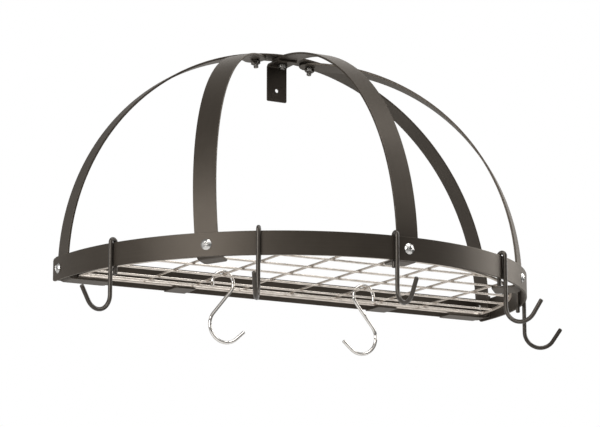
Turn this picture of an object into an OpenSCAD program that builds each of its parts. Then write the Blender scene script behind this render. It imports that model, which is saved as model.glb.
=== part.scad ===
// Half-dome pot rack for a wall.
// A half-round flat-bar rim carries a wire shelf and sliding hooks. Three curved front
// straps and one arch along the wall rise from it to a crown, and a drilled bracket
// under the crown takes the screw that fixes the rack to the wall.
// x runs along the wall, y = 0 is the wall's face and the rack stands at y < 0, z is up.
// The origin is the middle of the bracket's screw hole, on the face of the wall.

/* [Rack] */
// Width of the rack over the outside of the rim
rack_w = 762; // [600:1:920]
// Width of the flat bar
bar_w = 35; // [28:1:42]
// Thickness of the flat bar
bar_t = 3.2; // [2.6:0.1:3.9]
// Height of the dome's centre above the rim's lower edge
dome_lift = 13; // [12:0.5:16]
// Screw hole's depth below the lower face of the crown's stack
hole_drop = 42.5; // [34:0.5:51]
// Diameter of the wall screw's hole
hole_d = 6.5; // [5:0.5:8]

/* [Bolts] */
// Nominal diameter of the bolts
bolt_d = 8; // [6:0.5:9]
// Diameter of a domed bolt head
head_d = 16; // [14:0.5:18]
// Height of a domed bolt head
head_h = 4; // [3:0.5:5]
// Width of a nut across its flats
nut_af = 13; // [12:0.5:15]
// Thickness of a nut
nut_h = 6.5; // [5:0.5:8]
// Length of a rim bolt under its head
rim_bolt_len = 18; // [17.5:0.5:20]
// Length of a crown bolt under its head
crown_bolt_len = 20; // [18:0.5:24]
// Distance of the outer crown bolts from the middle
crown_step = 50.4; // [44:0.1:64]

/* [Wire shelf] */
// Diameter of the shelf's frame wire
frame_d = 5; // [4:0.1:6]
// Diameter of the shelf's long and cross wires
wire_d = 3.4; // [2.8:0.1:4]
// Distance between cross wires
cross_gap = 81; // [66:0.5:98]
// Shift of the cross wires along the wall
cross_shift = -1; // [-8:0.5:8]
// Gap between the shelf's frame and the rim's inner face
shelf_gap = 19.3; // [18.5:0.1:23]
// Radius of the shelf's back corners
corner_r = 10; // [8:0.5:12]
// Reach of the wall arch's feet from the rim
arch_foot = 80; // [64:1:96]
// Reach of the front straps' feet from the rim
strap_foot = 42; // [34:1:50]
// Width of a shelf tab along the wall
tab_w = 35; // [28:1:42]
// Distance of the shelf tabs from the middle
tab_x = 179; // [143:1:215]
// Reach of the shelf tabs from the wall
tab_reach = 46; // [37:1:55]

/* [Hooks] */
// Diameter of the rim hooks' rod
rod_d = 6.4; // [5.2:0.1:7.6]
// Radius of the rim hooks' lower bend
hook_r = 24.5; // [20:0.5:29]
// Depth of the hook's bend centre below the rim's lower edge
hook_drop = 42; // [34:1:50]
// Length of the rim hooks' straight tips
tip_len = 24; // [20:0.5:29]
// Length of a rim hook's tail below the rim
tail_drop = 11; // [9:1:13]
// Diameter of the S-hooks' rod
s_rod_d = 5; // [4:0.1:6]
// Radius of an S-hook's upper bend
s_top_r = 17.5; // [14:0.5:21]
// Radius of an S-hook's lower bend
s_low_r = 26.5; // [22:0.5:31]
// Distance between an S-hook's two bend centres
s_span = 63; // [53:1:76]

/* [Hidden] */
$fn = 96;

// Clearances: between stacked bars, between loose pieces, and round a bolt
lap = 0.1;
clear = 0.3;
bolt_play = 0.3;
// Room behind the arch for the fold of the back bar, and the fold's inner radius
back_play = 1;
fold_r = 1.2;
tuck = 0.3;
hair = 0.04;

// The rim: outer and inner radius, the dome's middle line and the bolts' height
rim_r = rack_w / 2;
rim_in = rim_r - bar_t;
mid_y = -(bar_t + back_play + bar_w / 2);
bolt_z = bar_w / 2;

// Angles of the three front straps round the rim, from the right, and of all bolts
strap_at = [135, 90, 45];
bolt_at = [0, strap_at[2], strap_at[1], strap_at[0], 180];

// A flat strap lies against the rim's curved inside with its two edges
sag = rim_in - sqrt(rim_in * rim_in - bar_w * bar_w / 4);
strap_r = rim_in - sag - lap;
flange_x = strap_r;
arch_r = flange_x - bar_t - lap;

// Crown: the arch passes over the straps' ends
crown_gap = 2 * sag - 0.1;
arch_z = dome_lift + strap_r + crown_gap - (arch_r - bar_t);
crown_tilt = asin(crown_step / arch_r);

// Shelf level: top face of the tabs and of the feet
level_z = 3.7;
bend_r = min(dome_lift - 2, bolt_z - nut_af / 2);

// Bracket: under the centre strap, then down the wall
bracket_z = dome_lift + strap_r - bar_t - sag - lap;
hole_z = bracket_z - hole_drop;
bracket_low = hole_z - 18;

// Shelf wires
frame_r = rim_in - shelf_gap - frame_d / 2;
frame_z = level_z + clear + frame_d / 2;
long_z = frame_z - 0.5;
cross_z = long_z + wire_d - 0.3;
back_in = 11.5;
long_steps = [33, 64.5, 119, 180.5, 242.5, 306.5];

// Rim hooks: radial places from the rim's outer face, and angles round the rim
tail_u = -bar_t - clear - rod_d / 2;
leg_u = clear + rod_d / 2;
saddle_r = (leg_u - tail_u) / 2;
tip_lift = 56;
hook_at = [158.8, 123.6, 93.3, 58.9, 22.3];

// S-hooks: number of the cross wire, distance from the wall, turned round or not
s_at = [[-2, -136, 0], [1, -136, 1]];

steel = [0.20, 0.18, 0.165];
bright = [0.78, 0.78, 0.77];
black = [0.07, 0.07, 0.07];

// ---- shared shapes ----

// Everything is drawn with z = 0 at the rim's lower edge, then set on the origin
module placed() {
  translate([0, 0, -hole_z]) children();
}

// Part of a flat ring, from angle a by sweep s
module ring_2d(r_out, r_in, a, s) {
  difference() {
    circle(r = r_out);
    circle(r = r_in);
    polygon(concat([[0, 0]],
      [for (k = [0 : 6]) let (b = a + s + (360 - s) * k / 6)
        3 * r_out * [cos(b), sin(b)]]));
  }
}

// Bend of a flat bar in its outline, from angle a by s. Its ends are tucked into the
// straight parts next to it, which are a hair thicker
module bar_arc(r, a, s) {
  more = tuck / r * 180 / PI;
  ring_2d(r - hair / 2, r - bar_t + hair / 2, a - more, s + 2 * more);
}

// A strap's outline: arc, leg, bend and foot, standing in the x-z plane
module strap_2d(r_out, centre_z, sweep, foot) {
  under = level_z - bar_t;
  translate([0, centre_z]) bar_arc(r_out, 0, sweep);
  translate([r_out - bar_t, under + bend_r]) square([bar_t, centre_z - under - bend_r]);
  translate([r_out - bend_r, under + bend_r]) bar_arc(bend_r, -90, 90);
  translate([rim_in - foot, under]) square([foot - rim_in + r_out - bend_r, bar_t]);
}

// Bent rod in the x-y plane, from angle a by s. Its ends are tucked into the straight
// rods next to it, which are a hair thicker than a bend
module bend_arc(d, r, a, s) {
  more = tuck / r * 180 / PI;
  rotate([0, 0, a - more]) rotate_extrude(angle = s + 2 * more)
    translate([r, 0]) circle(d = d - hair);
}

// The same in the x-z plane
module rod_arc(d, r, a, s) {
  rotate([90, 0, 0]) bend_arc(d, r, a, s);
}

// Straight rod in the x-z plane from p, along angle a, with a bevelled far end
module rod_tip(d, p, a, len) {
  bevel = 0.15 * d;
  translate([p[0], 0, p[1]]) rotate([0, 90 - a, 0]) {
    cylinder(d = d, h = len - bevel);
    translate([0, 0, len - bevel]) cylinder(d1 = d, d2 = d - 2 * bevel, h = bevel);
  }
}

// Points round the rim at angle t, x outward, z up
module rim_spot(t) {
  translate([0, mid_y, 0]) rotate([0, 0, -t]) children();
}

// The outward axis of a rim bolt at angle t, seat at distance r
module rim_axis(t, r) {
  rim_spot(t) translate([r, 0, bolt_z]) rotate([0, 90, 0]) children();
}

// The upward axis of crown bolt k (-1, 0 or 1), from the arch's centre
module crown_axis(k, r) {
  translate([0, mid_y, arch_z]) rotate([0, k * crown_tilt, 0]) translate([0, 0, r]) children();
}

// Domed bolt head with a cross recess, and the shank below it
module bolt(len) {
  dome_r = (head_d * head_d / 4 + head_h * head_h) / (2 * head_h);
  difference() {
    intersection() {
      translate([0, 0, head_h - dome_r]) sphere(r = dome_r);
      cylinder(d = head_d + 1, h = head_h + 1);
    }
    for (a = [0, 90])
      rotate([0, 0, a]) translate([-head_d * 0.2, -0.7, head_h - 2.2])
        cube([head_d * 0.4, 1.4, 3]);
  }
  translate([0, 0, -len + 0.8]) cylinder(d = bolt_d, h = len - 0.8);
  translate([0, 0, -len]) cylinder(d1 = bolt_d - 1.6, d2 = bolt_d, h = 0.8);
}

module nut() {
  difference() {
    intersection() {
      cylinder(d = nut_af / cos(30), h = nut_h, $fn = 6);
      translate([0, 0, nut_h / 2 - nut_af]) cylinder(d1 = 0, d2 = 3 * nut_af, h = 1.5 * nut_af);
    }
    translate([0, 0, -1]) cylinder(d = bolt_d + 0.2, h = nut_h + 2);
  }
}

module bolt_hole() {
  translate([0, 0, -40]) cylinder(d = bolt_d + 2 * bolt_play, h = 80);
}

// ---- frame of the rack ----

module rim_band() {
  leg_end = -3;
  corner = 5;
  color(steel) placed() difference() {
    union() {
      translate([0, mid_y, 0]) linear_extrude(bar_w)
        ring_2d(rim_r, rim_in, 180, 180);
      for (s = [0, 1]) mirror([s, 0, 0]) {
        translate([rim_in, mid_y, 0]) cube([bar_t, leg_end - corner - mid_y, bar_w]);
        translate([rim_in, leg_end - corner, corner])
          cube([bar_t, corner, bar_w - 2 * corner]);
        for (z = [corner, bar_w - corner])
          translate([rim_in, leg_end - corner, z]) rotate([0, 90, 0])
            cylinder(r = corner, h = bar_t);
      }
    }
    for (t = bolt_at) rim_axis(t, rim_r) bolt_hole();
  }
}

// The bar along the wall, its ends bent forward between the rim and the arch
module back_bar() {
  bend = bar_t + fold_r;
  low = 2.9;
  reach = -mid_y + bar_w / 2;
  color(steel) placed() difference() {
    translate([0, 0, low]) linear_extrude(bar_w) {
      translate([-flange_x + bend, -bar_t]) square([2 * (flange_x - bend), bar_t]);
      for (s = [0, 1]) mirror([s, 0]) {
        translate([flange_x - bend, -bend]) bar_arc(bend, 0, 90);
        translate([flange_x - bar_t, -reach]) square([bar_t, reach - bend]);
      }
    }
    for (t = [0, 180]) rim_axis(t, rim_r) bolt_hole();
  }
}

// A plate welded to the back bar, level with the straps' feet
module shelf_tab(s) {
  corner = 5;
  color(steel) placed() translate([s * tab_x, 0, level_z - bar_t]) linear_extrude(bar_t) {
    translate([-tab_w / 2, corner - tab_reach]) square([tab_w, tab_reach - corner - bar_t]);
    translate([-tab_w / 2 + corner, -tab_reach]) square([tab_w - 2 * corner, corner]);
    for (x = [corner - tab_w / 2, tab_w / 2 - corner])
      translate([x, corner - tab_reach]) circle(r = corner);
  }
}

// Cutter for the two corners of a foot that ends at distance x from the middle
module foot_corners(x) {
  c = 6;
  for (s = [0, 1]) mirror([0, s, 0]) translate([x + c, bar_w / 2 - c, -bar_w / 2])
    linear_extrude(bar_w) difference() {
      translate([-c - 1, 0]) square([c + 1, c + 1]);
      circle(r = c);
    }
}

module wall_arch() {
  color(steel) placed() difference() {
    translate([0, mid_y, 0]) rotate([90, 0, 0]) linear_extrude(bar_w, center = true) {
      strap_2d(arch_r, arch_z, 90, arch_foot);
      mirror([1, 0]) strap_2d(arch_r, arch_z, 90, arch_foot);
    }
    for (t = [0, 180]) {
      rim_axis(t, rim_r) bolt_hole();
      rim_spot(t) foot_corners(rim_in - arch_foot);
    }
    for (k = [-1, 0, 1]) crown_axis(k, arch_r) bolt_hole();
  }
}

// A front strap on a great circle of the dome, from rim angle t to crown bolt k
module front_strap(t, k) {
  bolt_r = arch_r - bar_t - crown_gap - bar_t / 2;
  tilt = atan(bolt_r * sin(k * crown_tilt)
    / (arch_z - dome_lift + bolt_r * cos(k * crown_tilt)));
  lean = -atan(sin(t) * tan(tilt));
  sweep = acos(cos(t) * sin(tilt));
  end_r = bar_w / 2 + 0.5;
  big = 2 * rim_r;
  sink = bar_w / 2 * sin(abs(lean));
  color(steel) placed() difference() {
    intersection() {
      rim_spot(t) translate([0, 0, dome_lift]) rotate([90 + lean, 0, 0])
        translate([0, -dome_lift, 0]) linear_extrude(bar_w, center = true)
          translate([0, -sink]) strap_up_2d(sweep, sink);
      rim_spot(t) translate([0, 0, dome_lift]) rotate([lean, 0, 0])
        rotate([0, 90 - sweep, 0]) union() {
          translate([0, -big, -big]) cube([big, 2 * big, 2 * big]);
          cylinder(r = end_r, h = big);
        }
    }
    rim_spot(t) translate([0, 0, dome_lift]) rotate([lean, 0, 0])
      translate([0, 0, -dome_lift - sink]) foot_corners(rim_in - strap_foot);
    rim_axis(t, rim_r) bolt_hole();
    crown_axis(k, arch_r) bolt_hole();
  }
}

// The strap's outline with its foot lowered by its lean, so its high edge is level
module strap_up_2d(sweep, sink) {
  under = level_z - bar_t;
  out = asin((bar_w / 2 + 1) / strap_r);
  translate([0, dome_lift + sink]) bar_arc(strap_r, 0, sweep + out);
  translate([strap_r - bar_t, under + bend_r])
    square([bar_t, dome_lift + sink - under - bend_r]);
  translate([strap_r - bend_r, under + bend_r]) bar_arc(bend_r, -90, 90);
  translate([rim_in - strap_foot, under])
    square([strap_foot - rim_in + strap_r - bend_r, bar_t]);
}

// Bent strap: up the wall from its screw hole, then out under the crown
module wall_bracket() {
  bend = bar_t + 3;
  reach = -mid_y + bar_w / 2;
  corner = 5;
  color(steel) placed() difference() {
    translate([-bar_w / 2, 0, 0]) rotate([90, 0, 90]) linear_extrude(bar_w) {
      translate([-bar_t, bracket_low]) square([bar_t, bracket_z - bend - bracket_low]);
      translate([-bend, bracket_z - bend]) bar_arc(bend, 0, 90);
      translate([-reach, bracket_z - bar_t]) square([reach - bend, bar_t]);
    }
    for (s = [0, 1]) mirror([s, 0, 0])
      translate([bar_w / 2 - corner, 1, bracket_low - 1]) rotate([90, 0, 0])
        linear_extrude(bar_t + 2) difference() {
          square([corner + 1, corner + 1]);
          translate([0, corner + 1]) circle(r = corner);
        }
    translate([0, 1, hole_z]) rotate([90, 0, 0]) cylinder(d = hole_d, h = bar_t + 2);
    crown_axis(0, arch_r) bolt_hole();
  }
}

// ---- bolts and nuts ----

module rim_bolts() {
  color(bright) placed() for (t = bolt_at) rim_axis(t, rim_r + lap) bolt(rim_bolt_len);
}

module rim_nuts() {
  under_strap = strap_r - bar_t - clear;
  under_arch = arch_r - bar_t - 2 * lap;
  color(bright) placed() {
    for (t = strap_at) rim_axis(t, under_strap - nut_h) nut();
    for (t = [0, 180]) rim_axis(t, under_arch - nut_h) nut();
  }
}

module crown_bolts() {
  color(bright) placed() for (k = [-1, 0, 1]) crown_axis(k, arch_r + lap) bolt(crown_bolt_len);
}

module crown_nuts() {
  under_strap = arch_r - 2 * bar_t - crown_gap - sag - lap;
  under_bracket = bracket_z - bar_t - lap - arch_z;
  color(bright) placed() {
    for (k = [-1, 1]) crown_axis(k, under_strap - nut_h) nut();
    crown_axis(0, under_bracket - nut_h) nut();
  }
}

// ---- wire shelf ----

module shelf_frame() {
  corner_c = -back_in - corner_r;
  corner_x = sqrt(pow(frame_r - corner_r, 2) - corner_c * corner_c);
  a = atan(-corner_c / corner_x);
  color(bright) placed() translate([0, mid_y, frame_z]) {
    rotate([0, 0, 180 + a]) rotate_extrude(angle = 180 - 2 * a)
      translate([frame_r, 0]) circle(d = frame_d);
    for (s = [0, 1]) mirror([s, 0, 0])
      translate([corner_x, corner_c, 0]) bend_arc(frame_d, corner_r, -a, 90 + a);
    translate([-corner_x, -back_in, 0]) rotate([0, 90, 0])
      cylinder(d = frame_d, h = 2 * corner_x);
  }
}

module shelf_long_wires() {
  color(bright) placed() translate([0, mid_y, long_z])
    for (d = long_steps) let (y = d * rim_r / 381, x = sqrt(frame_r * frame_r - y * y))
      translate([-x, -y, 0]) rotate([0, 90, 0]) cylinder(d = wire_d, h = 2 * x);
}

module shelf_cross_wires() {
  color(bright) placed() translate([0, mid_y, cross_z])
    for (k = [-3 : 3]) let (x = k * cross_gap + cross_shift, y = sqrt(frame_r * frame_r - x * x))
      translate([x, -back_in, 0]) rotate([90, 0, 0]) cylinder(d = wire_d, h = y - back_in);
}

// ---- hooks ----

// Rod hook over the rim: tail inside, saddle over the edge, leg down, bend and tip
module rim_hook(i) {
  saddle_u = (leg_u + tail_u) / 2;
  bend_u = leg_u + hook_r;
  end = tip_lift - 90;
  color(black) placed() rim_spot(hook_at[i - 1]) translate([rim_r, 0, 0]) {
    rod_tip(rod_d, [tail_u, bar_w], -90, bar_w + tail_drop);
    translate([saddle_u, 0, bar_w]) rod_arc(rod_d, saddle_r, 0, 180);
    translate([leg_u, 0, -hook_drop]) cylinder(d = rod_d, h = hook_drop + bar_w);
    translate([bend_u, 0, -hook_drop]) rod_arc(rod_d, hook_r, 180, 90 + tip_lift);
    rod_tip(rod_d, [bend_u + hook_r * cos(end), -hook_drop + hook_r * sin(end)],
      tip_lift, tip_len);
  }
}

// S-hook: upper bend over a cross wire, slanted shank, lower bend
module s_hook_shape() {
  drop = wire_d / 2 + clear + s_rod_d / 2 - s_top_r;
  side = 5.2;
  run = sqrt(s_span * s_span + side * side);
  tilt = atan(side / s_span);
  cross = asin((s_top_r + s_low_r) / run);
  shank = run * cos(cross);
  a = tilt - cross;
  translate([0, 0, drop]) {
    rod_arc(s_rod_d, s_top_r, a, 184 - a);
    rod_tip(s_rod_d, s_top_r * [cos(184), sin(184)], 274, 5);
    translate([side, 0, -s_span]) {
      rod_arc(s_rod_d, s_low_r, 180 + a, 131 - a);
      rod_tip(s_rod_d, s_low_r * [cos(311), sin(311)], 41, 18);
    }
    translate([s_top_r * cos(a), 0, s_top_r * sin(a)]) rotate([0, 180 - a, 0])
      cylinder(d = s_rod_d, h = shank);
  }
}

module s_hook(i) {
  at = s_at[i - 1];
  color(bright) placed() translate([at[0] * cross_gap + cross_shift, at[1], cross_z])
    rotate([0, 0, 180 * at[2]]) s_hook_shape();
}

rim_band();
back_bar();
shelf_tab(-1);  // shelf_tab_left
shelf_tab(1);  // shelf_tab_right
wall_arch();
front_strap(strap_at[0], -1);  // front_strap_left
front_strap(strap_at[1], 0);  // front_strap_centre
front_strap(strap_at[2], 1);  // front_strap_right
wall_bracket();
rim_bolts();
rim_nuts();
crown_bolts();
crown_nuts();
shelf_frame();
shelf_long_wires();
shelf_cross_wires();
rim_hook(1);  // rim_hook_1
rim_hook(2);  // rim_hook_2
rim_hook(3);  // rim_hook_3
rim_hook(4);  // rim_hook_4
rim_hook(5);  // rim_hook_5
s_hook(1);  // s_hook_1
s_hook(2);  // s_hook_2
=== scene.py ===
"""A half-dome pot rack for a wall: its looks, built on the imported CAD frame.

The scene is in metres, with x along the wall, y into it and z up, and its origin is the
middle of the bracket's screw hole on the face of the wall. The rack's own sizes are
named in millimetres, with heights from the rim's lower edge: from_hole() moves points
to the scene's origin, and solid() turns every mesh to metres.
"""

import math

import bpy
import numpy as np
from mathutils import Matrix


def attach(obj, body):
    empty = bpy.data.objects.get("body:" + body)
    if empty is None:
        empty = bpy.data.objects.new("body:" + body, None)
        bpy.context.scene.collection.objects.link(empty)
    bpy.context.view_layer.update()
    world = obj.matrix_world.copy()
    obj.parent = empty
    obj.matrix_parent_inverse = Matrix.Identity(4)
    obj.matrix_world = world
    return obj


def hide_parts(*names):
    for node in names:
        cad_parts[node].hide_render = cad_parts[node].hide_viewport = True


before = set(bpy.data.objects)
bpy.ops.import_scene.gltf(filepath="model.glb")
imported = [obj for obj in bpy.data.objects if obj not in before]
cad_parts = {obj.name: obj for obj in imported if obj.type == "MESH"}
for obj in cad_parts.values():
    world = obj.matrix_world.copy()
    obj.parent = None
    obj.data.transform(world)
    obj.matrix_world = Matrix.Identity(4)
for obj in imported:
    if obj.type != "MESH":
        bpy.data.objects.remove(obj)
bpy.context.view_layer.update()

# ---- camera ----
# The rack is seen from the left and from below its rim, through a long lens, so that
# the underside of the wire shelf shows and the dome is only slightly foreshortened.
UP, ASIDE = 11.99, -28.93    # degrees that it looks up from level, and to the right
camera = bpy.data.objects.new("camera", bpy.data.cameras.new("camera"))
camera.location = (-1.8133, -3.3596, -1.0107)
camera.rotation_euler = (math.radians(90 + UP), 0.0, math.radians(ASIDE))
camera.data.sensor_width = 36.0
camera.data.lens = 147.94
camera.data.clip_end = 60.0
bpy.context.scene.collection.objects.link(camera)
bpy.context.scene.camera = camera


# ---- studio ----
# A white paper floor under a white set, and three large soft lamps: one at each side
# for the long highlights on the ends of the curved bars, and one overhead.
class Tone:
    """A shader socket. Sums, differences and products of tones add Math nodes to its
    tree, and node() adds any other kind of node."""

    def __init__(self, tree, socket=None):
        self.tree, self.socket = tree, socket

    def node(self, kind, settings=None, feeds=None, out=0):
        """Adds a node: first its settings, then the value or link of each input."""
        made = self.tree.nodes.new("ShaderNode" + kind)
        for key, value in (settings or {}).items():
            setattr(made, key, value)
        for key, value in (feeds or {}).items():
            Tone.feed(made.inputs[key], value)
        return Tone(self.tree, made.outputs[out])

    @staticmethod
    def feed(where, value):
        """Links a tone to an input, or sets the input to a plain value."""
        if isinstance(value, Tone):
            value.tree.links.new(value.socket, where)
        elif where.type == "RGBA":
            where.default_value = (*value, 1.0)
        else:
            where.default_value = value

    def maths(self, how, first, second=0.0):
        return self.node("Math", {"operation": how}, {0: first, 1: second})

    def __add__(self, other):
        return self.maths("ADD", self, other)

    def __radd__(self, other):
        return self.maths("ADD", other, self)

    def __sub__(self, other):
        return self.maths("SUBTRACT", self, other)

    def __rsub__(self, other):
        return self.maths("SUBTRACT", other, self)

    def __mul__(self, other):
        return self.maths("MULTIPLY", self, other)

    def __rmul__(self, other):
        return self.maths("MULTIPLY", other, self)

    def rise(self, low, high, start=0.0, end=1.0):
        """A smooth step of this tone: start below low, end above high."""
        return self.node("MapRange", {"interpolation_type": "SMOOTHSTEP"},
                         {"Value": self, "From Min": low, "From Max": high,
                          "To Min": start, "To Max": end})

    def blend(self, first, second):
        """A colour that goes from first to second as this tone goes from 0 to 1."""
        return self.node("Mix", {"data_type": "RGBA"}, {0: self, 6: first, 7: second}, out=2)

    def part(self, axis):
        """One part of a vector, by its letter."""
        return self.node("SeparateXYZ", feeds={0: self}, out=axis)

    def noise(self, scale, detail):
        """Noise at a vector."""
        return self.node("TexNoise", feeds={"Vector": self, "Scale": scale,
                                            "Detail": detail})

    def lines(self, along, across, detail):
        """Noise drawn out along a run, from its scales along and across."""
        scaled = self.node("VectorMath", {"operation": "MULTIPLY"},
                           {0: self, 1: (along, across, 0.0)})
        return scaled.noise(1.0, detail)

    def bump(self, strength, depth):
        """A normal from this tone as a height, with its depth in metres."""
        return self.node("Bump", feeds={"Strength": strength, "Distance": depth,
                                        "Height": self}, out="Normal")


bpy.context.scene.view_settings.view_transform = "Standard"
studio = bpy.data.worlds.new("studio")
bpy.context.scene.world = studio
studio.use_nodes = True
sky = Tone(studio.node_tree)
towards = sky.node("TexCoord", out="Generated")
right, inward, height = (towards.part(axis) for axis in "XYZ")
# What lights the rack: a dim room, lighter overhead and lightest low behind the wall.
low = 1.0 - 0.75 * height.rise(0.12, 0.5)
room = 0.16 + 0.12 * height.rise(-0.3, 0.9) + 0.55 * inward.rise(-0.25, 0.55) * low
# What bright metal mirrors: a grey set with a glare up ahead and a card above the
# camera, both dimmer far to the right, and a strip of light on the left, past the wall.
ahead = 0.52 * right + 0.68 * inward + 0.52 * height
card = height.rise(0.2, 0.45) * inward.rise(-0.6, -0.1, 1.0, 0.0)
strip = right.rise(-0.75, -0.3, 0.5, 0.0) * inward.rise(0.0, 0.4)
mirror = ((0.3 + 1.2 * ahead.rise(0.91, 1.0) + 0.75 * card) * right.rise(0.7, 0.9, 1.0, 0.35)
          + strip)
mirrored = (sky.node("LightPath", out="Is Glossy Ray")
            + sky.node("LightPath", out="Is Transmission Ray")) * mirror
seen = sky.node("LightPath", out="Is Camera Ray")
backdrop = studio.node_tree.nodes["Background"]
Tone.feed(backdrop.inputs["Color"], (1.0, 1.0, 1.0))
Tone.feed(backdrop.inputs["Strength"],
          sky.maths("MAXIMUM", seen, sky.maths("MAXIMUM", mirrored, room)))


def lamp(name, place, aim, wide, tall, power):
    """A soft rectangular lamp at a place, with its face turned to a point."""
    light = bpy.data.lights.new(name, "AREA")
    light.shape = "RECTANGLE"
    light.size, light.size_y = wide, tall
    light.energy = power
    stand = bpy.data.objects.new(name, light)
    turn = np.subtract(aim, place)
    stand.location = place
    stand.rotation_euler = (math.acos(-turn[2] / np.linalg.norm(turn)), 0.0,
                            math.atan2(turn[1], turn[0]) - math.pi / 2)
    bpy.context.scene.collection.objects.link(stand)


lamp("left_lamp", (-2.55, -1.4, 0.4), (0.0, -0.2, -0.3), 1.9, 2.2, 80.0)
lamp("right_lamp", (2.45, -0.45, 0.75), (0.0, -0.2, -0.3), 1.9, 1.8, 50.0)
lamp("top_lamp", (0.3, -1.1, 2.3), (0.0, -0.2, -0.2), 2.4, 1.4, 46.0)


def paper_white():
    """White paper that fades out with the distance from its middle, in its alpha, so
    that the floor has no edge against the backdrop."""
    material = bpy.data.materials.new("floor_paper")
    material.use_nodes = True
    inputs = material.node_tree.nodes["Principled BSDF"].inputs
    place = Tone(material.node_tree).node("TexCoord", out="Object")
    distance = place.node("VectorMath", {"operation": "LENGTH"}, {0: place}, out="Value")
    Tone.feed(inputs["Base Color"], (0.86, 0.86, 0.86))
    Tone.feed(inputs["Roughness"], 0.9)
    Tone.feed(inputs["Alpha"], distance.rise(1.3, 3.0, 1.0, 0.0))
    return material


FLOOR_Z, FLOOR_HALF = -1.1, 7.0    # metres
sheet = bpy.data.meshes.new("floor")
sheet.from_pydata([(x * FLOOR_HALF, y * FLOOR_HALF, FLOOR_Z)
                   for x, y in ((-1, -1), (1, -1), (1, 1), (-1, 1))], [], [(0, 1, 2, 3)])
sheet.materials.append(paper_white())
floor = bpy.data.objects.new("floor", sheet)
bpy.context.scene.collection.objects.link(floor)

# ---- rim bar ----
# A flat steel bar bent to a half circle with short straight legs to the wall. It has
# eased edges, corners rounded at its ends, and a baked satin graphite coat.
MM = 0.001                # metres in a millimetre
BAR_W, BAR_T = 35.0, 3.2  # width and thickness of all the flat bar
LAP, CLEAR = 0.1, 0.3     # gaps between bolted pieces, and beside loose ones
RIM = 381.0               # radius outside the rim
RIM_IN = RIM - BAR_T
FOLD_ROOM = 1.0           # room behind the arch for the bends of the wall bar
MIDDLE = -(BAR_T + FOLD_ROOM + BAR_W / 2)    # the dome's middle line, in y
SAG = RIM_IN - math.sqrt(RIM_IN ** 2 - BAR_W ** 2 / 4)    # hollow of the rim across a bar
TIGHT = RIM_IN - SAG - LAP    # radius outside the straps, and half the wall bar's span
STRAP_Z = 13.0            # height of the centre of the straps' curves
BRACKET = STRAP_Z + TIGHT - BAR_T - SAG - LAP    # height of the bracket's top
HOLE_DROP = 42.5          # from there down to the screw hole
HOLE = BRACKET - HOLE_DROP
LEG_END = -3.0            # the rim's two ends, in y
RIM_CORNER = 5
EASE = 0.55               # radius of the bar's long edges
BLUNT = 0.25              # how far the last row of a bar draws in, to end it flat


def from_hole(x, y, z):
    """Points with heights from the rim's lower edge, measured from the screw hole."""
    return np.stack(np.broadcast_arrays(x, y, np.subtract(z, HOLE)), -1)


def route(start, heading, moves):
    """A flat path of straight runs (length, 0) and bends (radius, turn in degrees, left
    is positive): each bend is an arc about a centre one radius to its side, and each
    move carries on from the end of the last. Returns points as rows. A straight run has
    extra points near its ends and others apart between them; a bend has so many for each
    degree, more in a wide one."""
    near, apart = 0.4, 30
    wide, fine, coarse = 100, 0.7, 0.22
    where, way, rows = np.array(start, float), math.radians(heading), []
    for size, turn in moves:
        if turn:
            swing = math.radians(turn)
            side = math.copysign(1.0, turn)
            middle = where + size * side * np.array([-math.sin(way), math.cos(way)])
            count = max(8, int(abs(turn) * (fine if size > wide else coarse)))
            spoke = way - side * math.pi / 2 + swing * np.linspace(0, 1, count)
            run = middle + size * np.stack([np.cos(spoke), np.sin(spoke)], 1)
            way += swing
        else:
            share = np.unique(np.r_[0, near / size, np.linspace(0, 1, 2 + int(size / apart)),
                                    1 - near / size, 1])
            run = where + size * share[:, None] * np.array([math.cos(way), math.sin(way)])
        rows.append(run if not rows else run[1:])
        where = run[-1]
    return np.concatenate(rows)


def upright(flat, y):
    """A path in the x-z plane, set at y, and the way across its bar, which is y."""
    return from_hole(flat[:, 0], y, flat[:, 1]), np.tile([0.0, 1, 0], (len(flat), 1))


def level(flat, z):
    """A path in plan, set at height z, and the way across its bar, which is z."""
    return from_hole(flat[:, 0], flat[:, 1], z), np.tile([0.0, 0, 1], (len(flat), 1))


def lengths(path):
    """Distance along a path to each of its points."""
    return np.r_[0, np.cumsum(np.linalg.norm(np.diff(path, axis=0), axis=1))]


def carried(path, side, stations, ring=False):
    """A path at some distances along it: its points, the ways across, which side gives
    at the path's own points, and the ways of rise, square to the path and to across. The
    path of a ring ends where it starts."""
    s = lengths(path)
    padded = np.concatenate([path[-2:-1], path, path[1:2]]) if ring else path
    step = np.gradient(padded, lengths(padded), axis=0)
    line, across, ahead = (
        np.stack([np.interp(stations, s, rows[:, i]) for i in range(3)], 1)
        for rows in (path, side, step[1:-1] if ring else step))
    rise = np.cross(ahead, across)
    return line, across, rise / np.linalg.norm(rise, axis=1)[:, None]


def drawn_in(radius, gap):
    """How far a round corner has drawn in at a distance from its end."""
    inside = np.clip(radius - gap, 0, radius)
    return radius - np.sqrt(radius * radius - inside * inside)


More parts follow.
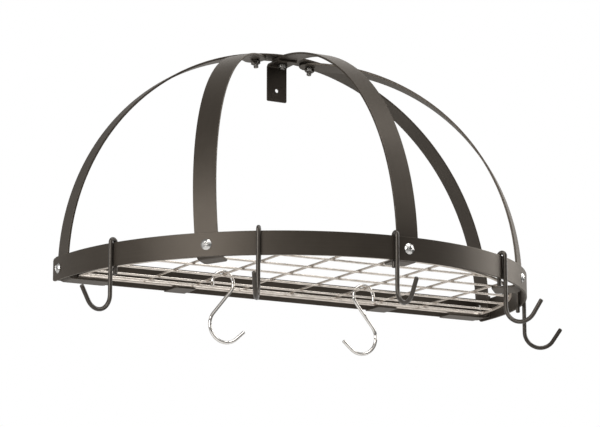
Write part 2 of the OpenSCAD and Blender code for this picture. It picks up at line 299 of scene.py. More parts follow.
def flat_bar(path, side, corners):
    """Carries a rectangle with eased edges along a path. At distance d from an end its
    width shrinks by twice c - sqrt(c*c - (c - d)*(c - d)), which rounds the corners with
    radius c, and over the last ease both its sizes shrink the same way with the ease.
    Returns the grid of points, and for each (along, across, nearness to an edge)."""
    s = lengths(path)
    end = s[-1]
    clear = 0.5
    first, last = (np.unique(np.r_[EASE * np.array([0, 0.13, 0.5, 1]),
                                   corner * np.array([0, 0.03, 0.12, 0.3, 0.6, 1])])
                   for corner in corners)
    stations = np.r_[0, first,
                     s[(s > corners[0] + clear) & (s < end - corners[1] - clear)],
                     (end - last)[::-1], end]
    line, across, rise = carried(path, side, stations)

    ends = (stations, end - stations)
    ease = sum(drawn_in(EASE, d) for d in ends)
    ease[[0, -1]] += BLUNT
    round_edge = np.clip(EASE - ease, 0.05, EASE)
    half_w = BAR_W / 2 - sum(drawn_in(c, d) for c, d in zip(corners, ends)) - ease
    half_w = np.maximum(half_w, 2 * round_edge)
    half_t = BAR_T / 2 - ease
    flat = half_w - round_edge

    # Each face has three pairs of loops beside its middle: at these distances from the
    # edge, or at these shares of the half width where that is less.
    loops = np.stack([flat - np.minimum(gap, flat * share) for gap, share in
                      ((0.3, 0.1), (1.5, 0.35), (4.0, 0.75))], 1)
    face = np.concatenate([loops, np.zeros((len(flat), 1)), -loops[:, ::-1]], 1)
    top = np.stack([face, np.broadcast_to(half_t[:, None], face.shape)], -1)
    thin = np.stack([half_w, 0 * half_w], -1)[:, None]
    turn = np.radians([0, 30, 60, 90])
    edges = [np.stack([flat[:, None] * over + round_edge[:, None] * np.cos(turn + begin),
                       (half_t - round_edge)[:, None] * up
                       + round_edge[:, None] * np.sin(turn + begin)], -1)
             for over, up, begin in ((1, 1, 0), (-1, 1, np.pi / 2), (-1, -1, np.pi),
                                     (1, -1, 1.5 * np.pi))]
    outline = np.concatenate([thin, edges[0], top, edges[1],
                              thin * [-1, 1], edges[2], -top, edges[3]], 1)
    grid = (line[:, None] + across[:, None] * outline[..., :1]
            + rise[:, None] * outline[..., 1:])

    worn = [1, 1, 1, 1]
    near = ([0.55] + worn + [0.7, 0.3, 0, 0, 0, 0.3, 0.7] + worn) * 2
    other_face = 200    # keeps the streaks of one face off the other
    run = np.stack(np.broadcast_arrays(
        stations[:, None], outline[..., 0] + other_face * (outline[..., 1] > 0), near), -1)
    return grid, run


def closed(grid, ring):
    """The faces of a grid whose rows go round it: quads, which join a ring's last row to
    its first, and otherwise triangles that close both ends to two middle points, numbered
    after the grid's own. If the signed volume is negative all are turned the right way
    out."""
    rows, cols = grid.shape[:2]
    index = np.arange(rows * cols).reshape(rows, cols)
    low = index if ring else index[:-1]
    high = np.roll(index, -1, 0) if ring else index[1:]
    quads = np.stack([low, np.roll(low, -1, 1), np.roll(high, -1, 1), high],
                     -1).reshape(-1, 4)
    fans = np.empty((0, 3), int)
    if not ring:
        middle = np.full(cols, rows * cols)
        fans = np.concatenate([
            np.stack([np.roll(index[0], -1), index[0], middle], 1),
            np.stack([index[-1], np.roll(index[-1], -1), middle + 1], 1)])
    points = grid.reshape(-1, 3)
    a, b, c, d = np.moveaxis(points[quads] - points.mean(0), 1, 0)
    volume = (np.cross(a, b) * c + np.cross(a, c) * d).sum()
    return (quads[:, ::-1], fans[:, ::-1]) if volume < 0 else (quads, fans)


def solid(name, parts, ring=False):
    """An object from closed parts, each a grid of points and its run, in millimetres.
    The mesh keeps the run as an attribute, with its first two values in metres."""
    points, runs, quads, fans = [], [], [], []
    for grid, run in parts:
        count = sum(len(rows) for rows in points)
        quad, fan = closed(grid, ring)
        quads.append(quad + count)
        fans.append(fan + count)
        for rows, kept in ((grid, points), (run, runs)):
            kept.append(rows.reshape(-1, 3))
            if not ring:
                kept.append(rows[[0, -1]].mean(1))
    mesh = bpy.data.meshes.new(name)
    mesh.from_pydata((np.concatenate(points) * MM).tolist(), [],
                     np.concatenate(quads).tolist() + np.concatenate(fans).tolist())
    mesh.polygons.foreach_set("use_smooth", np.ones(len(mesh.polygons), bool))
    mesh.attributes.new("run", "FLOAT_VECTOR", "POINT").data.foreach_set(
        "vector", (np.concatenate(runs) * [MM, MM, 1]).ravel())
    made = bpy.data.objects.new(name, mesh)
    bpy.context.scene.collection.objects.link(made)
    return made


def shell(name, parts, finish, body, node, ring=False):
    """One visible piece: its solid and finish, the body it rides on, and the
    CAD node that it stands for, if any."""
    piece = solid(name, parts, ring)
    piece.data.materials.append(finish)
    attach(piece, body)
    if node:
        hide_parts(node)
    return piece


def coat(name):
    """A new material, and the two vectors its tones start from: the place in the
    object's coordinates, and the mesh's own run: along, across, and a third value that is
    wear, heat near welds, or, on bolts, painted shade in the recess and thread."""
    material = bpy.data.materials.new(name)
    material.use_nodes = True
    blank = Tone(material.node_tree)
    return (material, blank.node("TexCoord", out="Object"),
            blank.node("Attribute", {"attribute_name": "run"}, out="Vector"))


def painted(material, tones):
    """Sets a material's shader, by the names of its inputs, to tones or plain values."""
    inputs = material.node_tree.nodes["Principled BSDF"].inputs
    for key, value in tones.items():
        Tone.feed(inputs[key], value)
    return material


def graphite():
    """Satin graphite coat over rolled bar. Base colour: the coat, a little lighter where
    slow noise is high, and bare steel where noise breaks through near an edge. The
    roughness follows long streaks along the bar, and the bump is the coat's fine skin."""
    material, place, run = coat("graphite_coat")
    streak = run.lines(9.0, 420.0, 3.0)
    cloud = place.noise(14.0, 3.0)
    chips = place.noise(260.0, 4.0)
    skin = place.noise(900.0, 2.0)
    worn = (run.part("Z") * 0.5 + chips * 0.9).rise(0.88, 1.06)
    coated = (cloud * 0.75 + streak * 0.25).rise(0.3, 0.7).blend(
        (0.033, 0.0265, 0.0205), (0.043, 0.0355, 0.028))
    return painted(material, {
        "Base Color": (worn * 0.45).blend(coated, (0.12, 0.104, 0.088)),
        "Metallic": 0.45 + worn * 0.4,
        "Roughness": 0.38 + streak * 0.05 + cloud * 0.05 - worn * 0.06,
        "Specular IOR Level": 0.35,
        "Specular Tint": (1.0, 0.92, 0.82),
        "Normal": (skin + streak * 0.12).bump(0.25, 0.0002)})


graphite_coat = graphite()
leg = LEG_END - MIDDLE
rim = route((-RIM + BAR_T / 2, LEG_END), -90,
            [(leg, 0), (RIM - BAR_T / 2, 180), (leg, 0)])
shell("rim_bar", [flat_bar(*level(rim, BAR_W / 2), (RIM_CORNER, RIM_CORNER))],
      graphite_coat, "rack", "rim_band")

# ---- wall bar and its two plates ----
# The bar along the wall is the same flat steel. Its ends are bent forward between the
# rim and the arch, where the end bolts hold all three. Two short plates are welded
# under it, and the shelf's back rests on them.
LOW = 2.9                 # height of the wall bar's lower edge
WALL_BEND = 2.8           # radius of its bends, at the middle of the bar
LEVEL = 3.7               # height of the top of the plates and of all the feet
FOOT_Z = LEVEL - BAR_T / 2
PLATE_X = 179.0           # distance of each plate from the rack's middle
PLATE_Y = (-BAR_T, -20.0, -46.0)    # along a plate, from its back end to its front
PLATE_CORNERS = (1, 5)    # at its back end and its front
WALL_CORNER = 1
BEAD_Y, BEAD_Z = -3.6, 3.6    # the weld above each plate, and its length and radius
BEAD_L, BEAD_R = 30.0, 1.3


def bead(start, end, size, ripple=2.2):
    """A weld bead: a round of radius size * (1 + 0.16 cos(2 pi s / ripple)) carried along
    a line, with s the distance along it, and closed to a small round at both ends."""
    s = np.linspace(0, 1, 61)
    long = np.linalg.norm(np.subtract(end, start))
    fade = np.sqrt(np.clip(1 - np.abs(2 * s - 1) ** 8, 0.02, 1))
    radius = (size * (1 + 0.16 * np.cos(2 * np.pi * s * long / ripple)) * fade)[:, None]
    turn = np.linspace(0, 2 * np.pi, 12, endpoint=False)
    line = np.add(start, s[:, None] * np.subtract(end, start))
    grid = from_hole(line[:, :1], line[:, 1:2] + radius * np.cos(turn),
                     line[:, 2:] + radius * np.sin(turn))
    return grid, np.stack(np.broadcast_arrays(s[:, None] * long, turn * size, 0.5), -1)


corner = WALL_BEND + BAR_T / 2
forward = -MIDDLE + BAR_W / 2 - corner
wall = route((-TIGHT + BAR_T / 2, MIDDLE - BAR_W / 2), 90,
             [(forward, 0), (WALL_BEND, -90), (2 * (TIGHT - corner), 0), (WALL_BEND, -90),
              (forward, 0)])
shell("wall_bar", [flat_bar(*level(wall, LOW + BAR_W / 2), (WALL_CORNER, WALL_CORNER))],
      graphite_coat, "rack", "back_bar")
for hand, sign in (("left", -1), ("right", 1)):
    x = sign * PLATE_X
    plate = from_hole(x, PLATE_Y, FOOT_Z)
    shell("shelf_plate_" + hand,
          [flat_bar(plate, np.tile([1.0, 0, 0], (len(plate), 1)), PLATE_CORNERS),
           bead((x - BEAD_L / 2, BEAD_Y, BEAD_Z), (x + BEAD_L / 2, BEAD_Y, BEAD_Z), BEAD_R)],
          graphite_coat, "rack", "shelf_tab_" + hand)

# ---- wall arch ----
# A flat bar bent to a half circle that stands close to the wall. Its lower ends turn
# in to make the feet that carry the shelf's two sides.
ARCH = TIGHT - BAR_T - LAP    # radius outside it
UNDER_ARCH = 2 * SAG - LAP    # gap between it and the straps at the crown bolts
ARCH_Z = STRAP_Z + TIGHT + UNDER_ARCH - (ARCH - BAR_T)    # height of its centre
ARCH_FOOT = 80.0          # reach of its feet in from the rim
ARCH_TIP = RIM_IN - ARCH_FOOT
HEEL = 11.0               # radius outside the bends above all the feet
FOOT_BEND = HEEL - BAR_T / 2
FOOT_CORNER = 6
foot, lift = ARCH - HEEL - ARCH_TIP, ARCH_Z - FOOT_Z - FOOT_BEND
arch = route((-ARCH_TIP, FOOT_Z), 180,
             [(foot, 0), (FOOT_BEND, -90), (lift, 0), (ARCH - BAR_T / 2, -180), (lift, 0),
              (FOOT_BEND, -90), (foot, 0)])
shell("dome_arch", [flat_bar(*upright(arch, MIDDLE), (FOOT_CORNER, FOOT_CORNER))],
      graphite_coat, "rack", "wall_arch")

# ---- front straps ----
# Three flat bars rise from the rim over the dome to the crown, each in the plane of a
# great circle. Their feet turn in under the shelf and their tops are rounded.
STRAPS = (("left", 135.0, -1), ("centre", 90.0, 0), ("right", 45.0, 1))
STRAP_FOOT = 42.0         # reach of their feet in from the rim
STRAP_TIP = RIM_IN - STRAP_FOOT
STRAP_TOP = 17.4          # radius of their rounded tops
OVERRUN = 17.6            # how far they run on past their crown bolts
CROWN_X = 50.4            # distance of the outer crown bolts from the rack's middle
CROWN = math.degrees(math.asin(CROWN_X / ARCH))    # and the angle that they lean by
SEAT = ARCH - BAR_T * 1.5 - UNDER_ARCH    # the straps' middle there, from the arch's centre


def turned(points, angle, lean=0.0):
    """Points (radial, sideways, up) tipped about the radial line through the dome's
    middle by lean, then turned round the rim: x = r cos + w sin, y = w cos - r sin."""
    t, k = math.radians(angle), math.radians(lean)
    r, w, z = points[:, 0], points[:, 1], points[:, 2]
    w, z = w * math.cos(k) - z * math.sin(k), w * math.sin(k) + z * math.cos(k)
    return np.stack([r * math.cos(t) + w * math.sin(t), w * math.cos(t) - r * math.sin(t),
                     z], 1)


# Each strap's curve lies in the plane through its place on the rim and the seat of its
# crown bolt. tip is the angle from upright to the seat, lean the plane's own tilt, arc
# the way round to the bolt, and sink what the tilt takes off the foot's lower side.
for hand, angle, step in STRAPS:
    k = math.radians(step * CROWN)
    tip = math.atan2(SEAT * math.sin(k), ARCH_Z - STRAP_Z + SEAT * math.cos(k))
    lean = -math.degrees(math.atan(math.sin(math.radians(angle)) * math.tan(tip)))
    arc = math.degrees(math.acos(math.cos(math.radians(angle)) * math.sin(tip)))
    sink = BAR_W / 2 * math.sin(math.radians(abs(lean)))
    bend = TIGHT - BAR_T / 2
    flat = route((STRAP_TIP, FOOT_Z - sink - STRAP_Z), 0,
                 [(TIGHT - HEEL - STRAP_TIP, 0), (FOOT_BEND, 90),
                  (STRAP_Z - FOOT_Z - FOOT_BEND + sink, 0),
                  (bend, arc + math.degrees(OVERRUN / bend))])
    path = turned(np.insert(flat, 1, 0, axis=1), angle, lean)
    side = turned(np.tile([0.0, 1, 0], (len(flat), 1)), angle, lean)
    shell("dome_strap_" + hand,
          [flat_bar(path + from_hole(0, MIDDLE, STRAP_Z), side, (FOOT_CORNER, STRAP_TOP))],
          graphite_coat, "rack", "front_strap_" + hand)

# ---- wall bracket ----
# A short flat bar: one end lies against the wall with the screw hole in it, and the
# other is bent forward under the crown and held by the middle bolt.
BRACKET_END = 18.0        # how far it reaches below the middle of the hole
BRACKET_BEND = 4.6        # radius of its bend, at the middle of the bar
BRACKET_CORNERS = (2, 1)    # at its lower end and its front
DRILL = ((-8.0, 4.0), (-3.6, 4.0), (-2.9, 3.25), (4.0, 3.25))    # (y, radius) along it
corner = BRACKET_BEND + BAR_T / 2
flat = route((-BAR_T / 2, HOLE - BRACKET_END), 90,
             [(BRACKET - corner - HOLE + BRACKET_END, 0), (BRACKET_BEND, 90),
              (-MIDDLE + BAR_W / 2 - corner, 0)])
bracket = shell("hanging_bracket",
                [flat_bar(from_hole(0, flat[:, 0], flat[:, 1]),
                          np.tile([1.0, 0, 0], (len(flat), 1)), BRACKET_CORNERS)],
                graphite_coat, "rack", "wall_bracket")
turn = np.linspace(0, 2 * np.pi, 40, endpoint=False)
depth, wide = np.array(DRILL).T[..., None]
bit = np.stack(np.broadcast_arrays(wide * np.cos(turn), depth, wide * np.sin(turn)), -1)
drill = solid("drill", [(bit, 0 * bit)])
bore = bracket.modifiers.new("screw_hole", "BOOLEAN")
bore.object, bore.operation, bore.solver = drill, "DIFFERENCE", "EXACT"
drilled = bpy.data.meshes.new_from_object(
    bracket.evaluated_get(bpy.context.evaluated_depsgraph_get()))
bracket.modifiers.clear()
bracket.data = drilled
bpy.data.objects.remove(drill)

# ---- bolts and nuts ----
# Domed cross-head machine bolts and chamfered hexagon nuts, zinc plated: five bright
# ones through the rim, and three through the crown in a rougher zinc whose darker
# colours are painted shade, for the shade under the crown.
BOLT_R, PITCH, THREAD = 4.0, 1.25, 0.5    # shank radius, and the thread's pitch and depth
TAPER = 0.8               # length and depth of the taper at the shank's end
DOME, DOME_SINK = 10.0, 6.0    # the head is a cap of this ball, sunk by this much
HEAD_R, HEAD_EDGE = 7.85, 0.25    # the head's underside, and the height of its rim
RECESS = 1.8              # height of the floor of the cross above the seat
SLOT_W, SLOT_L = 1.15, 3.5    # half the width and length of its slots
SLOT_SIDE, SLOT_END = 0.5, 0.7    # how far their walls slope, at the sides and ends
NUT_H, NUT_R = 6.5, 6.5   # height, and half the width across flats
NUT_FACE, STEEP = 6.35, 1.73    # the round at its faces, and the slope from there
NUT_BORE = (5.2, 4.3, BOLT_R, BOLT_R, 4.3, 5.2)    # radii down its bore
RIM_BOLT, CROWN_BOLT = 18, 20    # lengths under the head
FRONT_GAP, END_GAP = 0.3, 0.2    # gaps at the rim's nuts, on the straps and at the ends
AROUND = np.linspace(0, 2 * np.pi, 72, endpoint=False)


def zinc(name, light, dull, gloss):
    """Zinc plating between two colours. Base colour and roughness drift with noise. The run's
    third value is painted shade: it darkens the base colour in the head's cross recess and
    the thread's roots, and makes them rougher. The bump is fine turning marks round the
    axis, from the distance across."""
    material, place, run = coat(name)
    cloud = place.noise(160.0, 3.0)
    # Painted shade: the run's third value darkens the cross recess and the thread's roots
    recess_shade = run.part("Z")
    rings = run.maths("SINE", run.part("Y") * 9000.0)
    clean = cloud.rise(0.35, 0.7).blend(light, dull)
    return painted(material, {
        # painted shade: the base colour goes toward near-black in the recess and thread roots
        "Base Color": (recess_shade * 0.65).blend(clean, (0.06, 0.054, 0.048)),
        "Metallic": 1.0,
        "Roughness": gloss + cloud * 0.14 + recess_shade * 0.2,
        "Specular Tint": (0.3, 0.29, 0.28),
        "Normal": (rings + cloud * 2.0).bump(0.12, 0.0001)})


def spun(radius, height):
    """A grid round the z axis from radii and heights."""
    return np.stack(np.broadcast_arrays(radius * np.cos(AROUND), radius * np.sin(AROUND),
                                        height), -1)


def smooth(share):
    """A smooth step from 0 to 1."""
    share = np.clip(share, 0, 1)
    return share ** 2 * (3 - 2 * share)


def bolt(length):
    """A bolt along +z with its seat at 0. The head is a ball cap, sunk to a floor inside
    a cross of two slots with soft walls; the shank's radius is its own less the thread's
    depth * |saw(z / pitch - turn)|, and its end tapers. Rows go down from the middle of the
    head. Returns points and (along, across, painted shade in the recess and the thread's
    roots)."""
    r = np.r_[0.05, 0.4, 0.7, 0.95, 1.25, 1.6, 2.0, 2.4, 2.8, 3.1, 3.4, 3.8, 4.6, 5.6, 6.6,
              7.3, 7.8, 7.98][:, None]
    x, y = np.abs(r * np.cos(AROUND)), np.abs(r * np.sin(AROUND))
    cross = (smooth((SLOT_W - np.minimum(x, y)) / SLOT_SIDE)
             * smooth((SLOT_L - np.maximum(x, y)) / SLOT_END))
    cap = np.sqrt(DOME ** 2 - r * r) - DOME_SINK
    head = spun(r, np.maximum(cap * (1 - cross) + RECESS * cross, HEAD_EDGE))
    down = np.r_[0.0, np.arange(-0.2, -length + TAPER, -0.2), -length + TAPER / 2, -length]
    saw = np.abs(2 * ((down[:, None] / PITCH - AROUND / (2 * np.pi)) % 1) - 1)
    most = np.interp(down, [-length, -length + TAPER, 0], [BOLT_R - TAPER, BOLT_R, BOLT_R])
    shank = spun(np.minimum(BOLT_R - THREAD * saw, most[:, None]), down[:, None])
    grid = np.concatenate([head, spun(HEAD_R, 0.0)[None], shank])
    # Painted shade: 1 on the floor of the cross recess, up to 0.35 in the thread's roots
    dark = np.concatenate([cross, np.zeros((1, len(AROUND))), 0.35 * saw])
    far = np.linalg.norm(grid[..., :2], axis=-1)
    return grid, np.stack([grid[..., 2], far, dark], -1)


def nut():
    """A hexagon nut from z = 0 up: its outline's radius is half the width across flats
    / cos(turn within a side), cut by a 30 degree cone at both faces, and its rows close
    through the bore."""
    sixth = np.pi / 3
    flat = NUT_R / np.cos((AROUND + sixth / 2) % sixth - sixth / 2)
    z = np.array([0, 0.25, 0.55, 1.0, 3.25, 5.5, 5.95, 6.25, NUT_H])
    cone = NUT_FACE + np.minimum(z, NUT_H - z) * STEEP
    bore = np.tile(np.array(NUT_BORE)[:, None], len(AROUND))
    radius = np.concatenate([np.minimum(flat, cone[:, None]), bore])
    height = np.r_[z, NUT_H, NUT_H - 0.05, NUT_H - 0.4, 0.4, 0.05, 0.0][:, None]
    grid = spun(radius, height)
    return grid, np.stack([grid[..., 2], radius, 0 * radius], -1)


def seated(built, origin, axis):
    """Sets a bolt or nut drawn along +z at a point, with its +z along an axis."""
    grid, run = built
    one = np.cross([0.0, 1, 0] if abs(axis[1]) < 0.9 else [1.0, 0, 0], axis)
    one /= np.linalg.norm(one)
    two = np.cross(axis, one)
    return from_hole(*origin) + grid @ np.stack([one, two, axis]), run


def on_rim(angle, radius):
    """A point on the line of a rim bolt, and the line's outward direction."""
    t = math.radians(angle)
    out = np.array([math.cos(t), -math.sin(t), 0.0])
    return out * radius + [0, MIDDLE, BAR_W / 2], out


def on_crown(step, radius):
    """A point on the line of a crown bolt, and the line's upward direction."""
    k = math.radians(step * CROWN)
    up = np.array([math.sin(k), 0.0, math.cos(k)])
    return up * radius + [0, MIDDLE, ARCH_Z], up


bright_zinc = zinc("bright_zinc", (0.62, 0.61, 0.59), (0.48, 0.47, 0.45), 0.1)
# Painted shade: a darker copy of the zinc for the crown's bolts and nuts, which lie in the
# shade under it; it is also rougher
shaded_zinc = zinc("shaded_zinc", (0.3, 0.285, 0.265), (0.17, 0.158, 0.142), 0.2)
front = [angle for hand, angle, step in STRAPS]
shell("rim_screws",
      [seated(bolt(RIM_BOLT), *on_rim(t, RIM + LAP)) for t in (0, *front, 180)],
      bright_zinc, "rack", "rim_bolts")
shell("rim_hex_nuts",
      [seated(nut(), *on_rim(t, TIGHT - BAR_T - FRONT_GAP - NUT_H)) for t in front]
      + [seated(nut(), *on_rim(t, ARCH - BAR_T - END_GAP - NUT_H)) for t in (0, 180)],
      bright_zinc, "rack", "rim_nuts", ring=True)
shell("crown_screws",
      [seated(bolt(CROWN_BOLT), *on_crown(step, ARCH + LAP)) for step in (-1, 0, 1)],
      shaded_zinc, "rack", "crown_bolts")
# The lower faces of what the crown bolts hold, from the arch's centre.
strap_low = ARCH - 2 * BAR_T - UNDER_ARCH - SAG
bracket_low = BRACKET - BAR_T - ARCH_Z
shell("crown_hex_nuts",
      [seated(nut(), *on_crown(step, low_face - LAP - NUT_H)) for step, low_face in
       ((-1, strap_low), (0, bracket_low), (1, strap_low))],
      shaded_zinc, "rack", "crown_nuts", ring=True)

# ---- wire shelf ----
# A D-shaped rod frame with six wires along the wall and seven across them on top, all
# spot welded and nickel plated. It lies loose on the feet and plates.
FRAME_D, WIRE_D = 5.0, 3.4    # the two rods across
SHELF_GAP = 19.3          # between the frame and the rim
FRAME_R = RIM_IN - SHELF_GAP - FRAME_D / 2    # the frame's radius, at the rod's middle
UNDER, MELTED = 0.5, 0.3    # the wires along lie lower, and the crossings are pressed in
FRAME_Z = LEVEL + CLEAR + FRAME_D / 2    # heights of the three layers' middles
LONG_Z = FRAME_Z - UNDER
CROSS_Z = LONG_Z + WIRE_D - MELTED
BACK = 11.5               # the frame's straight side, forward of the dome's middle line
CORNER = 10.0             # radius of the frame's two corners
LONG = np.array([33.0, 64.5, 119.0, 180.5, 242.5, 306.5])    # wires along, as far forward
CROSS_STEP, CROSS_SHIFT = 81.0, -1.0    # between the wires across, and all of them aside
CROSS = CROSS_STEP * np.arange(-3, 4) + CROSS_SHIFT
WARM = 3.0                # how far from a weld the plating is browned
CROSSING, ON_FRAME, AT_SIDE = (2.0, 1.1), (2.4, 1.4), (2.6, 1.9)    # welds: radius, half height
ON_FRAME_Z = 2.1          # height of the welds on the frame above its middle
INSIDE = 6.0              # crossings nearer the frame than this have no weld of their own
SIDE_IN = 1.5             # how far in the welds at the wires' ends lie


def rod(path, side, thick, wear, ring=False, sides=20, bevel=0.4):
    """Carries a circle along a path. Over the last bevel at each open end its radius
    falls evenly to 0.7 of itself. wear gives its amount, from 0 to 1, at each share of
    the way along."""
    s = lengths(path)
    end = s[-1]
    if ring:
        stations = s[:-1]
        radius = np.full(len(stations), thick / 2)
    else:
        cap = bevel * np.array([0.0, 0.12, 0.5, 0.9, 1.0, 1.15])
        clear = bevel * 1.5
        stations = np.r_[cap, s[(s > clear) & (s < end - clear)], (end - cap)[::-1]]
        inside = np.clip(1 - np.minimum(stations, end - stations) / bevel, 0, 1)
        radius = thick / 2 * (1 - 0.3 * inside)
    line, across, rise = (rows[:, None] for rows in carried(path, side, stations, ring))
    turn = np.linspace(0, 2 * np.pi, sides, endpoint=False)
    grid = line + radius[:, None, None] * (across * np.cos(turn)[:, None]
                                           + rise * np.sin(turn)[:, None])
    return grid, np.stack(np.broadcast_arrays(stations[:, None], turn * thick / 2,
                                              wear(stations / end)[:, None]), -1)


def nickel():
    """Bright nickel on drawn wire. Base colour: warm grey, browner near a weld. Fine
    lines run along the wire in its roughness and bump."""
    material, place, run = coat("nickel_plate")
    heat = run.part("Z")
    drawn = run.lines(30.0, 1200.0, 2.0)
    plate = place.noise(55.0, 3.0).rise(0.35, 0.7).blend((0.71, 0.65, 0.585),
                                                         (0.58, 0.525, 0.465))
    return painted(material, {
        "Base Color": (heat * 0.6).blend(plate, (0.17, 0.135, 0.11)),
        "Metallic": 1.0,
        "Roughness": 0.24 + drawn * 0.06 + heat * 0.16,
        "Specular Tint": (0.42, 0.38, 0.34),
        "Normal": drawn.bump(0.04, 0.0001)})


def straight(start, end, spots):
    """A wire between two points, warmed round each weld at a distance along it:
    exp(-(distance / warm) ** 2)."""
    share = np.linspace(0, 1, 121)
    line = np.add(start, share[:, None] * np.subtract(end, start)) + from_hole(0, 0, 0)
    long = np.linalg.norm(np.subtract(end, start))

    def heat(s):
        return np.exp(-(np.abs(s[:, None] * long - spots).min(1) / WARM) ** 2)

    return rod(line, np.tile([0.0, 0, 1], (len(share), 1)), WIRE_D, heat, sides=12)


def nugget(x, y, z, wide, tall):
    """A spot weld: a flattened ball, as rows of a polar grid, with a soft waist."""
    up = np.linspace(-0.98, 0.98, 6)[:, None]
    turn = np.linspace(0, 2 * np.pi, 10, endpoint=False)
    radius = wide * np.sqrt(1 - up * up) * (1 + 0.08 * np.cos(2 * turn))
    grid = from_hole(x + radius * np.cos(turn), y + radius * np.sin(turn),
                     z + tall * up + 0 * radius)
    return grid, np.stack([0 * radius, radius, 0 * radius + 0.9], -1)


nickel_plate = nickel()
corner_y = -BACK - CORNER
corner_x = math.sqrt((FRAME_R - CORNER) ** 2 - corner_y ** 2)
slant = math.degrees(math.atan(-corner_y / corner_x))
outline = route((0, MIDDLE - BACK), 180,
                [(corner_x, 0), (CORNER, 90 + slant), (FRAME_R, 180 - 2 * slant),
                 (CORNER, 90 + slant), (corner_x, 0)])
shell("shelf_rim", [rod(*level(outline, FRAME_Z), FRAME_D,
                        lambda s: np.full(len(s), 0.25), ring=True)],
      nickel_plate, "shelf", "shelf_frame", ring=True)
half = np.sqrt(FRAME_R ** 2 - LONG ** 2)
shell("shelf_wires_along",
      [straight((-x, MIDDLE - d, LONG_Z), (x, MIDDLE - d, LONG_Z),
                np.r_[0, CROSS[np.abs(CROSS) < x] + x, 2 * x])
       for d, x in zip(LONG, half)], nickel_plate, "shelf", "shelf_long_wires")
reach = np.sqrt(FRAME_R ** 2 - CROSS ** 2)
shell("shelf_wires_across",
      [straight((x, MIDDLE - BACK, CROSS_Z), (x, MIDDLE - d, CROSS_Z),
                np.r_[0, LONG[LONG < d] - BACK, d - BACK])
       for x, d in zip(CROSS, reach)], nickel_plate, "shelf",
      "shelf_cross_wires")
on_frame = FRAME_Z + ON_FRAME_Z
spots = [(x, MIDDLE - d, (LONG_Z + CROSS_Z) / 2, *CROSSING)
         for x in CROSS for d in LONG if d * d + x * x < (FRAME_R - INSIDE) ** 2]
spots += [(x, MIDDLE - BACK, on_frame, *ON_FRAME) for x in CROSS]
spots += [(x, MIDDLE - d, on_frame, *ON_FRAME) for x, d in zip(CROSS, reach)]
spots += [(sign * (x - SIDE_IN), MIDDLE - d, LONG_Z, *AT_SIDE) for d, x in zip(LONG, half)
          for sign in (-1, 1)]
shell("shelf_welds", [nugget(*spot) for spot in spots], nickel_plate, "shelf",
      None)

# ---- rim hooks ----
# Five hooks of round steel rod in satin black enamel. Each hangs over the rim's top
# edge by its own bend, and slides along the bar.
ROD = 6.4                 # the rod across
HOOKS = (158.8, 123.6, 93.3, 58.9, 22.3)    # degrees round the rim
HOOK_TAIL, HOOK_DROP = 11.0, 42.0    # reach of the two legs below the rim
HOOK_BEND, HOOK_TURN = 24.5, 146    # radius and degrees of the lower bend
HOOK_TIP = 24.0           # the straight end after it
HOOK_RUBBED = ((0.22, 0.03), (0.72, 0.10))    # by the rim and by pans, as shares of its length


def enamel():
    """Satin black enamel on rod. The base colour is black, thinned to dark steel where
    pans and the rim rub it; the skin is slightly pebbled."""
    material, place, run = coat("black_enamel")
    cloud = place.noise(90.0, 4.0)
    worn = (run.part("Z") * 0.5 + cloud * 0.7).rise(0.82, 1.05)
    black = cloud.rise(0.3, 0.7).blend((0.021, 0.0175, 0.0145), (0.030, 0.0255, 0.021))
    return painted(material, {
        "Base Color": (worn * 0.55).blend(black, (0.10, 0.094, 0.088)),
        "Metallic": worn * 0.6,
        "Roughness": 0.27 + cloud * 0.10 - worn * 0.04,
        "Specular IOR Level": 0.45,
        "Specular Tint": (1.0, 0.91, 0.8),
        "Normal": place.noise(700.0, 2.0).bump(0.22, 0.0002)})


def rubbed(*spots):
    """A rod's wear: the sum of exp(-((s - place) / width) ** 2) over its rubbed spots,
    (place, width), with s from 0 to 1 along it."""
    def wear(s):
        return sum(np.exp(-((s - place) / width) ** 2) for place, width in spots)
    return wear


black_enamel = enamel()
flat = route((-BAR_T - CLEAR - ROD / 2, -HOOK_TAIL), 90,
             [(BAR_W + HOOK_TAIL, 0), ((BAR_T + ROD) / 2 + CLEAR, -180),
              (BAR_W + HOOK_DROP, 0), (HOOK_BEND, HOOK_TURN), (HOOK_TIP, 0)])
for number, angle in enumerate(HOOKS, 1):
    path = turned(np.insert(flat, 1, 0, axis=1) + [RIM, 0, 0], angle)
    side = turned(np.tile([0.0, 1, 0], (len(flat), 1)), angle)
    shell("pan_hook_%d" % number,
          [rod(path + from_hole(0, MIDDLE, 0), side, ROD, rubbed(*HOOK_RUBBED), sides=24,
               bevel=1.0)],
          black_enamel, "hook_%d" % number, "rim_hook_%d" % number)

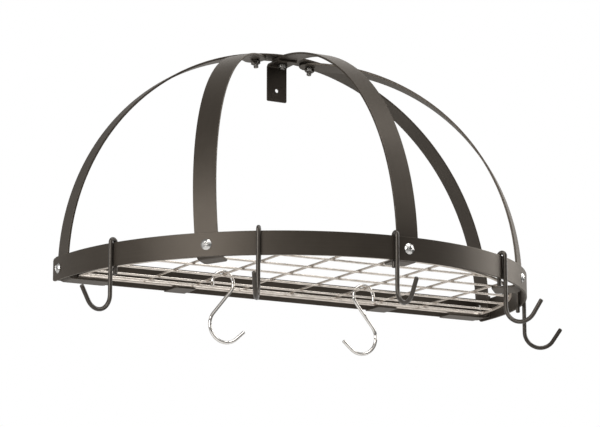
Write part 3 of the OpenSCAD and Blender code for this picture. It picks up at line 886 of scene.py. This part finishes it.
# ---- S-hooks ----
# Two S-hooks of polished chromed rod, hung on cross wires of the shelf. Their large
# lower bends carry pans, and their ends are cut square with a small bevel.
S_ROD = 5.0               # the rod across
S_TOP, S_LOW = 17.5, 26.5    # radii of the two bends, at the rod's middle
S_SPAN, S_SIDE = 63.0, 5.2    # from the upper bend's centre down and out to the lower's
S_START, S_START_TIP = 184, 5.0    # degrees round the upper bend, and the end before it
S_FINISH, S_FINISH_TIP = 131, 18.0    # heading and length of the lower end
S_RUBBED = ((0.17, 0.04), (0.72, 0.10))
S_AT = ((-2, 1), (1, -1))    # number of each hook's wire, and the side it reaches out to
S_Y = -136.0


def chrome():
    """Polished chrome. Slow smudges change its roughness, and faint lines run along the
    rod in its bump."""
    material, place, run = coat("polished_chrome")
    cloud = place.noise(70.0, 4.0)
    return painted(material, {
        "Base Color": cloud.rise(0.4, 0.75).blend((0.7, 0.67, 0.63), (0.57, 0.545, 0.51)),
        "Metallic": 1.0,
        "Roughness": 0.06 + cloud.rise(0.45, 0.8) * 0.12 + run.part("Z") * 0.06,
        "Specular Tint": (0.2, 0.185, 0.17),
        "Normal": run.lines(12.0, 800.0, 1.0).bump(0.03, 0.0001)})


polished_chrome = chrome()
reach = math.hypot(S_SPAN, S_SIDE)
gape = math.degrees(math.asin((S_TOP + S_LOW) / reach))
heading = math.degrees(math.atan(S_SIDE / S_SPAN)) - gape
drop = WIRE_D / 2 + CLEAR + S_ROD / 2 - S_TOP
high = math.radians(S_START)
begin = (S_TOP * math.cos(high) - S_START_TIP * math.sin(high),
         S_TOP * math.sin(high) + S_START_TIP * math.cos(high) + drop)
flat = route(begin, S_START - 90,
             [(S_START_TIP, 0), (S_TOP, heading - S_START),
              (reach * math.cos(math.radians(gape)), 0), (S_LOW, S_FINISH - heading),
              (S_FINISH_TIP, 0)])
for number, (wire, hand) in enumerate(S_AT, 1):
    path = from_hole(CROSS_STEP * wire + CROSS_SHIFT + hand * flat[:, 0], S_Y,
                     CROSS_Z + flat[:, 1])
    shell("chrome_hook_%d" % number,
          [rod(path, np.tile([0.0, 1, 0], (len(flat), 1)), S_ROD,
               rubbed(*S_RUBBED), sides=24, bevel=0.75)],
          polished_chrome, "s_hook_%d" % number, "s_hook_%d" % number)
